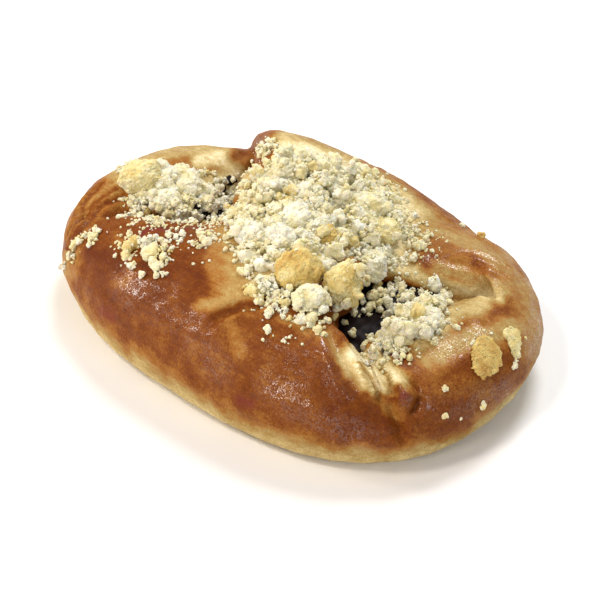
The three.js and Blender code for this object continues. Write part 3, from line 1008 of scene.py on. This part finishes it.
# the height of everything built so far, on a grid seen from above
class HeapHeights:
    def __init__(self, pieces):
        low, high = [np.array(corner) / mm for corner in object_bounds()]
        self.step = heapGrid["step"]
        self.low = low[:2] - heapGrid["margin"]
        count = np.ceil((high[:2] + heapGrid["margin"] - self.low) / self.step).astype(int)
        self.heights = np.zeros(count)
        self.onClump = np.zeros(count, bool)
        down = Vector((0, 0, -1))
        for piece in pieces:
            surface = surfaceOf(piece)
            points = pointsOf(piece.data)[:, :2]
            first = np.floor((points.min(0) - self.low) / self.step).astype(int)
            last = np.ceil((points.max(0) - self.low) / self.step).astype(int)
            for i in range(first[0], last[0] + 1):
                for j in range(first[1], last[1] + 1):
                    x, y = self.low + self.step * np.array([i, j])
                    hit = surface.ray_cast(Vector((x * mm, y * mm, heapGrid["above"])), down)[0]
                    if hit and hit.z / mm > self.heights[i, j]:
                        self.heights[i, j] = hit.z / mm
                        self.onClump[i, j] = piece in clumps or piece in flakes

    # grid cells within a radius of a place, and how high a ball's skin stands over each
    def under(self, place, radius):
        i, j = np.round((place - self.low) / self.step).astype(int)
        reach = int(radius / self.step) + 1
        a, b = slice(max(0, i - reach), i + reach + 1), slice(max(0, j - reach), j + reach + 1)
        part = self.heights[a, b]
        x = self.low[0] + self.step * np.arange(a.start, a.start + part.shape[0])[:, None] - place[0]
        y = self.low[1] + self.step * np.arange(b.start, b.start + part.shape[1])[None] - place[1]
        return part, np.sqrt(np.maximum(radius**2 - x**2 - y**2, 0)), x**2 + y**2 < radius**2

    # the height at which the centre of a ball comes to rest
    def rest(self, place, radius):
        part, skin, inside = self.under(place, radius)
        return (part + skin)[inside].max() if inside.any() else part.max() + radius

    # a ball dropped at a place rolls to the lowest rest nearby
    def drop(self, place, radius):
        height = self.rest(place, radius)
        for turn in range(heapGrid["rolls"]):
            tries = [place + heapGrid["rollStep"] * way for way in rollWays]
            rests = [self.rest(t, radius) for t in tries]
            best = int(np.argmin(rests))
            if rests[best] > height - heapGrid["leastFall"]:
                break
            place, height = tries[best], rests[best]
        height -= 2 * heapGrid["sink"] * radius
        place = np.array([place[0], place[1], height])
        self.cover(place, radius)
        return place

    # a ball that stays at its place
    def cover(self, place, radius):
        part, skin, inside = self.under(place[:2], radius * heapGrid["cover"])
        part[inside] = np.maximum(part, place[2] + heapGrid["cover"] * skin)[inside]


# the shapes of a kind of crumb, each about 1 in radius
def crumbShapes(kind, look, rng):
    if "shapes" not in look:
        return lumpShapes
    scale = crumbBuild["radius"]
    low, high, count = look["grains"]
    grains = (low * scale, high * scale, count, crumbBuild["grainDepth"])
    shapes = []
    for k in range(look["shapes"]):
        lobes = []
        for lobe in range(crumbBuild["lobes"]):
            lump, faces = lumpShapes[rng.integers(len(lumpShapes))]
            way = rng.normal(size=3)
            way *= scale * (crumbBuild["spread"] if lobe else 0) / np.linalg.norm(way)
            size = scale * (rng.uniform(*crumbBuild["lobeSize"]) if lobe else crumbBuild["middleSize"])
            lobes.append((lump @ randomTurn(rng).T * size + way, faces))
        body = remade(joinedMesh(lobes, kind), kind, crumbBuild["voxel"])
        body = grainy(body, kind, [grains], crumbBuild["grainVoxel"], rng)
        body = thinned(body, look["faces"] / (2 * len(body.polygons)))
        shapes.append((pointsOf(body) / scale, facesOf(body)))
    return shapes


# the nearest surface that a pixel of the photograph shows
def surfaceHit(pixel):
    hits = [h for h in (pixelHit(s, pixel) for s in surfaces) if h is not None]
    return min(hits, key=lambda h: np.linalg.norm(h - cameraPlace)) if hits else None


# some cells of the heap's grid, drawn by how likely a crumb is to lie there
def drawnCells(rng, chances, count):
    cells = rng.choice(chances.size, count, p=chances.ravel() / chances.sum())
    return cells, np.stack(np.unravel_index(cells, chances.shape), axis=1)


def makeCrumbs(kind, look, heap, chances, seed):
    rng = np.random.default_rng(seed)
    shapes = crumbShapes(kind, look, rng)
    low, high = look["size"]
    drops = []
    for cell in drawnCells(rng, chances, look["count"])[1]:
        spot = heap.low + heap.step * (cell + rng.uniform(-0.5, 0.5, 2))
        drops.append((spot, low + (high - low) * rng.random() ** crumbLook["smallness"]))
    laid = []
    for group in placedCrumbs.values():
        for u, v, size, *toast in group:
            hit = surfaceHit((u, v)) if low <= size < high else None
            if hit is not None:
                place = hit + crumbLook["proud"] * size / 2 * towardsCamera(hit)
                heap.cover(place, size / 2)
                laid.append((place, size, toast[0] if toast else None))
    for spot, size in drops:
        laid.append((heap.drop(spot, size / 2), size, None))
    parts, tones, toasts = [], [], []
    least, more = crumbLook["toast"]
    share, extra = crumbLook["toasted"]
    for place, size, toast in laid:
        if place[2] < crumbLook["floor"]:
            continue
        points, faces = shapes[rng.integers(len(shapes))]
        stretch = rng.uniform(*crumbLook["stretch"], 3)
        parts.append(((points * stretch) @ randomTurn(rng).T * size / 2 + place, faces))
        tones.append(np.full(len(points), rng.random()))
        if toast is None:
            toast = least + more * rng.random() + (extra if rng.random() < share else 0)
        toasts.append(np.full(len(points), toast))
    return crumbPiece(kind, parts, tones, toasts)


def crumbPiece(kind, parts, tones, toasts):
    mesh = joinedMesh(parts, kind)
    writeMask(mesh, "tone", np.concatenate(tones))
    writeMask(mesh, "toast", np.concatenate(toasts))
    piece = newPiece(kind, mesh)
    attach(piece, "root")
    print(kind, "laid:", len(parts), "crumbs,", len(mesh.polygons), "faces")
    return piece


def makeSpecks(heap, chances, seed):
    rng = np.random.default_rng(seed)
    ball, faces = ballArrays(speckLook["detail"])
    low, high = speckLook["size"]
    places, browns = [], []
    groups = ((clumps + flakes, "onClumps"), (cores, "onCores"), (crumbs, "onCrumbs"))
    for pieces, amount in groups:
        points = np.vstack([pointsOf(p.data) for p in pieces])
        normals = np.vstack([normalsOf(p.data) for p in pieces])
        brown = np.concatenate([readMask(p.data, "toast") for p in pieces])
        pick = rng.choice(np.nonzero(normals[:, 2] > speckLook["upwards"])[0], speckLook[amount])
        places.append(points[pick] - normals[pick] * speckLook["sunk"])
        browns.append(brown[pick] * speckLook["skinToast"])
    cells, spots = drawnCells(rng, chances, speckLook["fallen"])
    heights = heap.heights.ravel()[cells] + speckLook["sunk"]
    places.append(np.column_stack([heap.low + heap.step * spots, heights]))
    browns.append(np.full(len(cells), speckLook["fallenToast"]))
    parts, tones, toasts = [], [], []
    for place, brown in zip(np.vstack(places), np.concatenate(browns)):
        size = low + (high - low) * rng.random() ** speckLook["smallness"]
        points = ball * rng.uniform(*speckLook["stretch"], (len(ball), 1)) * size / 2
        parts.append((points @ randomTurn(rng).T + place, faces))
        tones.append(np.full(len(points), rng.uniform(*speckLook["tone"])))
        toasts.append(np.full(len(points), brown + speckLook["moreToast"] * rng.random()))
    return crumbPiece("crumbSpecks", parts, tones, toasts)


surfaces = [surfaceOf(piece) for piece in [dough, jam] + clumps + flakes + cores]

# jam that has risen between the crumbs of the left opening: pixel and size in mm
jamSmears = {
    "highMiddle": ((229, 181), 4.6),
    "highRight": ((238, 187), 3.8),
    "highLeft": ((220, 188), 3.8),
    "lowRight": ((205, 214), 3.6),
    "lowLeft": ((197, 206), 3.2),
}
smearShape = {
    "sunk": 0.1,  # a share of the size
    "flatness": 0.5,
    "voxel": 0.25,
    "ripples": (1.6, 0.12),  # size and height
}


def makeJamSmears(seed):
    rng = np.random.default_rng(seed)
    parts = []
    for pixel, size in jamSmears.values():
        lump, faces = lumpShapes[rng.integers(len(lumpShapes))]
        place = surfaceHit(pixel)
        place -= smearShape["sunk"] * size * towardsCamera(place)
        parts.append((lump @ randomTurn(rng).T * (1, 1, smearShape["flatness"]) * size / 2 + place, faces))
    mesh = remade(joinedMesh(parts, "jamSmears"), "jamSmears", smearShape["voxel"])
    roughen(mesh, *smearShape["ripples"], seed)
    piece = newPiece("jamSmears", mesh)
    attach(piece, "root")
    return piece


smears = makeJamSmears(seeds["smears"])
surfaces.append(surfaceOf(smears))
heap = HeapHeights([dough, jam, smears] + clumps + flakes + cores)
print("heights measured")
spans = [heap.low[k] + heap.step * np.arange(heap.heights.shape[k]) for k in (0, 1)]
gridX, gridY = np.meshgrid(*spans, indexing="ij")
ground = np.stack([gridX, gridY, heap.heights], axis=2).reshape(-1, 3)
groundPixels = drifted(ground, *crumbLook["drift"], seeds["ground"])
covered = paint(np.zeros(len(ground)), groundPixels, crumbCover)
sprinkled = np.maximum(covered, paint(np.zeros(len(ground)), groundPixels, crumbSprinkle))
onTop = (ground[:, 2] > crumbLook["floor"]) * np.where(heap.onClump.ravel(), crumbLook["onClumps"], 1.0)
dense = (covered * onTop).reshape(heap.heights.shape)
thin = (sprinkled * onTop).reshape(heap.heights.shape)
chances = {"crumbsLarge": dense, "crumbsSmall": dense, "crumbGrains": thin}
crumbs = []
for k, (kind, look) in enumerate(crumbKinds.items()):
    crumbs.append(makeCrumbs(kind, look, heap, chances[kind], seeds["crumbs"] + k))
crumbs.append(makeSpecks(heap, thin, seeds["specks"]))


soakLook = {
    "gaps": (0.3, 2.6),  # soaked through to dry, mm
    "every": 4,  # measured at one point in this many
}


# how much jam has soaked into each crumb, by its distance from the jam
def soak(piece, surface):
    every = soakLook["every"]
    points = pointsOf(piece.data)
    gaps = [surface.find_nearest(Vector(p * mm))[3] / mm for p in points[::every]]
    near = 1 - smoothStep(*soakLook["gaps"], np.repeat(gaps, every)[: len(points)])
    writeMask(piece.data, "damp", near)


jamSurface = surfaceOf(jam)
for piece in crumbs + clumps + cores + flakes:
    soak(piece, jamSurface)
print("jam soaked in")


# a colour given as it looks on a screen, 0 to 255
def shade(red, green, blue):
    parts = [c / 255 for c in (red, green, blue)]
    return tuple(c / 12.92 if c < 0.04 else ((c + 0.055) / 1.055) ** 2.4 for c in parts) + (1,)


# an input is linked to an output or given a value
def feed(tree, socket, value):
    if isinstance(value, bpy.types.NodeSocket):
        tree.links.new(value, socket)
    else:
        socket.default_value = value


def feedAll(tree, node, inputs):
    for name, value in inputs.items():
        feed(tree, node.inputs[name], value)


def addNode(tree, kind, inputs={}, **settings):
    node = tree.nodes.new(kind)
    for name, value in settings.items():
        setattr(node, name, value)
    feedAll(tree, node, inputs)
    return node


def product(tree, a, b):
    return addNode(tree, "ShaderNodeMath", {0: a, 1: b}, operation="MULTIPLY").outputs[0]


# a value with a share of another added
def plusShare(tree, value, other, share):
    inputs = {0: other, 1: share, 2: value}
    return addNode(tree, "ShaderNodeMath", inputs, operation="MULTIPLY_ADD").outputs[0]


def mapped(tree, value, fromLow, fromHigh, toLow, toHigh):
    inputs = {"Value": value, "From Min": fromLow, "From Max": fromHigh, "To Min": toLow, "To Max": toHigh}
    return addNode(tree, "ShaderNodeMapRange", inputs).outputs["Result"]


def ramp(tree, value, stops):
    node = addNode(tree, "ShaderNodeValToRGB", {"Fac": value})
    elements = node.color_ramp.elements
    while len(elements) < len(stops):
        elements.new(1)
    for element, (place, colour) in zip(elements, stops):
        element.position = place
        element.color = colour
    return node.outputs["Color"]


def blend(tree, amount, a, b, mode="MIX"):
    inputs = {0: amount, 6: a, 7: b}
    return addNode(tree, "ShaderNodeMix", inputs, data_type="RGBA", blend_type=mode).outputs[2]


def attribute(tree, name):
    return addNode(tree, "ShaderNodeAttribute", attribute_name=name).outputs["Fac"]


# object coordinates in millimetres
def millimetres(tree):
    place = addNode(tree, "ShaderNodeTexCoord").outputs["Object"]
    return addNode(tree, "ShaderNodeVectorMath", {0: place, "Scale": 1 / mm}, operation="SCALE").outputs[0]


noiseRoughness = 0.55


def noise(tree, place, size, detail=3.0):
    inputs = {"Vector": place, "Scale": 1 / size, "Detail": detail, "Roughness": noiseRoughness}
    return addNode(tree, "ShaderNodeTexNoise", inputs).outputs["Fac"]


# an effect used by several materials: a group with only value outputs
def effectGroup(name, outputs):
    tree = bpy.data.node_groups.new(name, "ShaderNodeTree")
    end = tree.nodes.new("NodeGroupOutput")
    for output in outputs:
        tree.interface.new_socket(output, in_out="OUTPUT", socket_type="NodeSocketFloat")
    return tree, end


# spots of several sizes, in mm, from -1 to 1
mottleLook = {"Broad": 5.0, "Middle": 1.6, "Fine": 0.5, "Streak": 1.2}
mottleNoise = (0.28, 0.72)  # what the noise ranges over
streakStretch = (0.22, 1, 1)


def makeMottle():
    tree, end = effectGroup("mottle", list(mottleLook))
    place = millimetres(tree)
    inputs = {0: place, 1: streakStretch}
    along = addNode(tree, "ShaderNodeVectorMath", inputs, operation="MULTIPLY").outputs[0]
    for output, size in mottleLook.items():
        value = noise(tree, along if output == "Streak" else place, size)
        tree.links.new(mapped(tree, value, *mottleNoise, -1.0, 1.0), end.inputs[output])
    return tree


poreLook = {
    "skin": (0.45, 2.0),  # size in mm and detail
    "pock": 1.3,
    "pockShare": 0.3,
    "glint": (0.42, 1.0),
    "glintNoise": (0.44, 0.58),  # from no glint to a full one
}


def makePores():
    tree, end = effectGroup("pores", ["Height", "Glints"])
    place = millimetres(tree)
    skin = noise(tree, place, *poreLook["skin"])
    inputs = {"Vector": place, "Scale": 1 / poreLook["pock"]}
    pock = addNode(tree, "ShaderNodeTexVoronoi", inputs).outputs["Distance"]
    tree.links.new(plusShare(tree, skin, pock, poreLook["pockShare"]), end.inputs["Height"])
    glint = noise(tree, place, *poreLook["glint"])
    tree.links.new(mapped(tree, glint, *poreLook["glintNoise"], 0.0, 1.0), end.inputs["Glints"])
    return tree


mottle = makeMottle()
pores = makePores()


def startMaterial(name):
    material = bpy.data.materials.new(name)
    material.use_nodes = True
    tree = material.node_tree
    shader = tree.nodes["Principled BSDF"]
    spots = addNode(tree, "ShaderNodeGroup", node_tree=mottle).outputs
    relief = addNode(tree, "ShaderNodeGroup", node_tree=pores).outputs
    return material, tree, shader, spots, relief


def bumped(tree, height, distance):
    inputs = {"Height": height, "Distance": distance * mm, "Strength": 1.0}
    return addNode(tree, "ShaderNodeBump", inputs).outputs["Normal"]


crustLook = {
    "colours": [
        (0.0, shade(238, 226, 186)),
        (0.2, shade(202, 180, 126)),
        (0.4, shade(168, 140, 84)),
        (0.6, shade(153, 102, 44)),
        (0.8, shade(120, 64, 19)),
        (1.0, shade(95, 43, 12)),
    ],
    "unevenness": {"Broad": 0.05, "Middle": 0.06, "Fine": 0.09, "Streak": 0.06},
    "stain": shade(112, 44, 38),
    "paleToBrown": (0.15, 0.85),  # the browning from which and to which the roughness changes
    "roughness": (0.6, 0.42),  # pale, brown
    "roughSpots": 0.05,
    "shine": 0.06,
    "glaze": 1.0,  # the strength of the gloss
    "glazePatches": (-0.6, 0.4, 0.35, 1.0),  # a range of the spots, and the gloss that it gives
    "glazeRoughness": 0.17,
    "glazeIor": 1.7,
    "glazeBump": 0.08,
    "bump": 0.28,
}


def makeCrust():
    material, tree, shader, spots, relief = startMaterial("crust")
    brown = attribute(tree, "browning")
    for output, amount in crustLook["unevenness"].items():
        brown = plusShare(tree, brown, spots[output], amount)
    colour = ramp(tree, brown, crustLook["colours"])
    roughness = mapped(tree, brown, *crustLook["paleToBrown"], *crustLook["roughness"])
    patches = mapped(tree, spots["Middle"], *crustLook["glazePatches"])
    glaze = product(tree, attribute(tree, "gloss"), product(tree, patches, relief["Glints"]))
    inputs = {
        "Base Color": blend(tree, attribute(tree, "stain"), colour, crustLook["stain"]),
        "Roughness": plusShare(tree, roughness, spots["Middle"], crustLook["roughSpots"]),
        "Specular IOR Level": crustLook["shine"],
        "Coat Weight": product(tree, glaze, crustLook["glaze"]),
        "Coat Roughness": crustLook["glazeRoughness"],
        "Coat IOR": crustLook["glazeIor"],
        "Coat Normal": bumped(tree, relief["Height"], crustLook["glazeBump"]),
        "Normal": bumped(tree, relief["Height"], crustLook["bump"]),
    }
    feedAll(tree, shader, inputs)
    return material


jamLook = {
    "colours": [(0.0, shade(14, 9, 7)), (1.0, shade(30, 17, 16))],
    "roughness": 0.42,
    "roughSpots": 0.05,
    "shine": 0.035,
    "bump": 0.03,
}


def makeJamMaterial():
    material, tree, shader, spots, relief = startMaterial("jam")
    amount = mapped(tree, spots["Middle"], -1.0, 1.0, 0.0, 1.0)
    inputs = {
        "Base Color": ramp(tree, amount, jamLook["colours"]),
        "Roughness": plusShare(tree, jamLook["roughness"], spots["Fine"], jamLook["roughSpots"]),
        "Specular IOR Level": jamLook["shine"],
        "Normal": bumped(tree, relief["Height"], jamLook["bump"]),
    }
    feedAll(tree, shader, inputs)
    return material


crumbleColours = {
    "toast": [
        (0.0, shade(235, 234, 219)),
        (0.3, shade(227, 217, 166)),
        (0.6, shade(213, 188, 114)),
        (1.0, shade(186, 142, 68)),
    ],
    "unevenness": {"Broad": 0.17, "Middle": 0.09, "Fine": 0.04},
    "toneSpots": 0.2,
    "dark": shade(238, 226, 194),  # multiplies the darker crumbs
    "darkest": 0.45,
    "damp": shade(112, 98, 92),
    "dampest": 0.12,
    "roughness": 0.82,
    "bump": 0.5,
    "glow": 0.4,  # share of light that passes through
    "glowColours": (1.0, 0.75, 0.35),
    "glowDepth": 0.7,
}


def makeCrumble():
    material, tree, shader, spots, relief = startMaterial("crumble")
    toast = attribute(tree, "toast")
    for output, amount in crumbleColours["unevenness"].items():
        toast = plusShare(tree, toast, spots[output], amount)
    colour = ramp(tree, toast, crumbleColours["toast"])
    tone = plusShare(tree, attribute(tree, "tone"), spots["Fine"], crumbleColours["toneSpots"])
    dark = mapped(tree, tone, 0.0, 1.0, crumbleColours["darkest"], 0.0)
    colour = blend(tree, dark, colour, crumbleColours["dark"], "MULTIPLY")
    damp = product(tree, attribute(tree, "damp"), crumbleColours["dampest"])
    inputs = {
        "Base Color": blend(tree, damp, colour, crumbleColours["damp"]),
        "Roughness": crumbleColours["roughness"],
        "Subsurface Weight": crumbleColours["glow"],
        "Subsurface Radius": crumbleColours["glowColours"],
        "Subsurface Scale": crumbleColours["glowDepth"] * mm,
        "Normal": bumped(tree, relief["Height"], crumbleColours["bump"]),
    }
    feedAll(tree, shader, inputs)
    return material


dough.data.materials.append(makeCrust())
jamMaterial = makeJamMaterial()
jam.data.materials.append(jamMaterial)
smears.data.materials.append(jamMaterial)
crumbleMaterial = makeCrumble()
for piece in clumps + flakes + cores + crumbs:
    piece.data.materials.append(crumbleMaterial)
print("materials made")
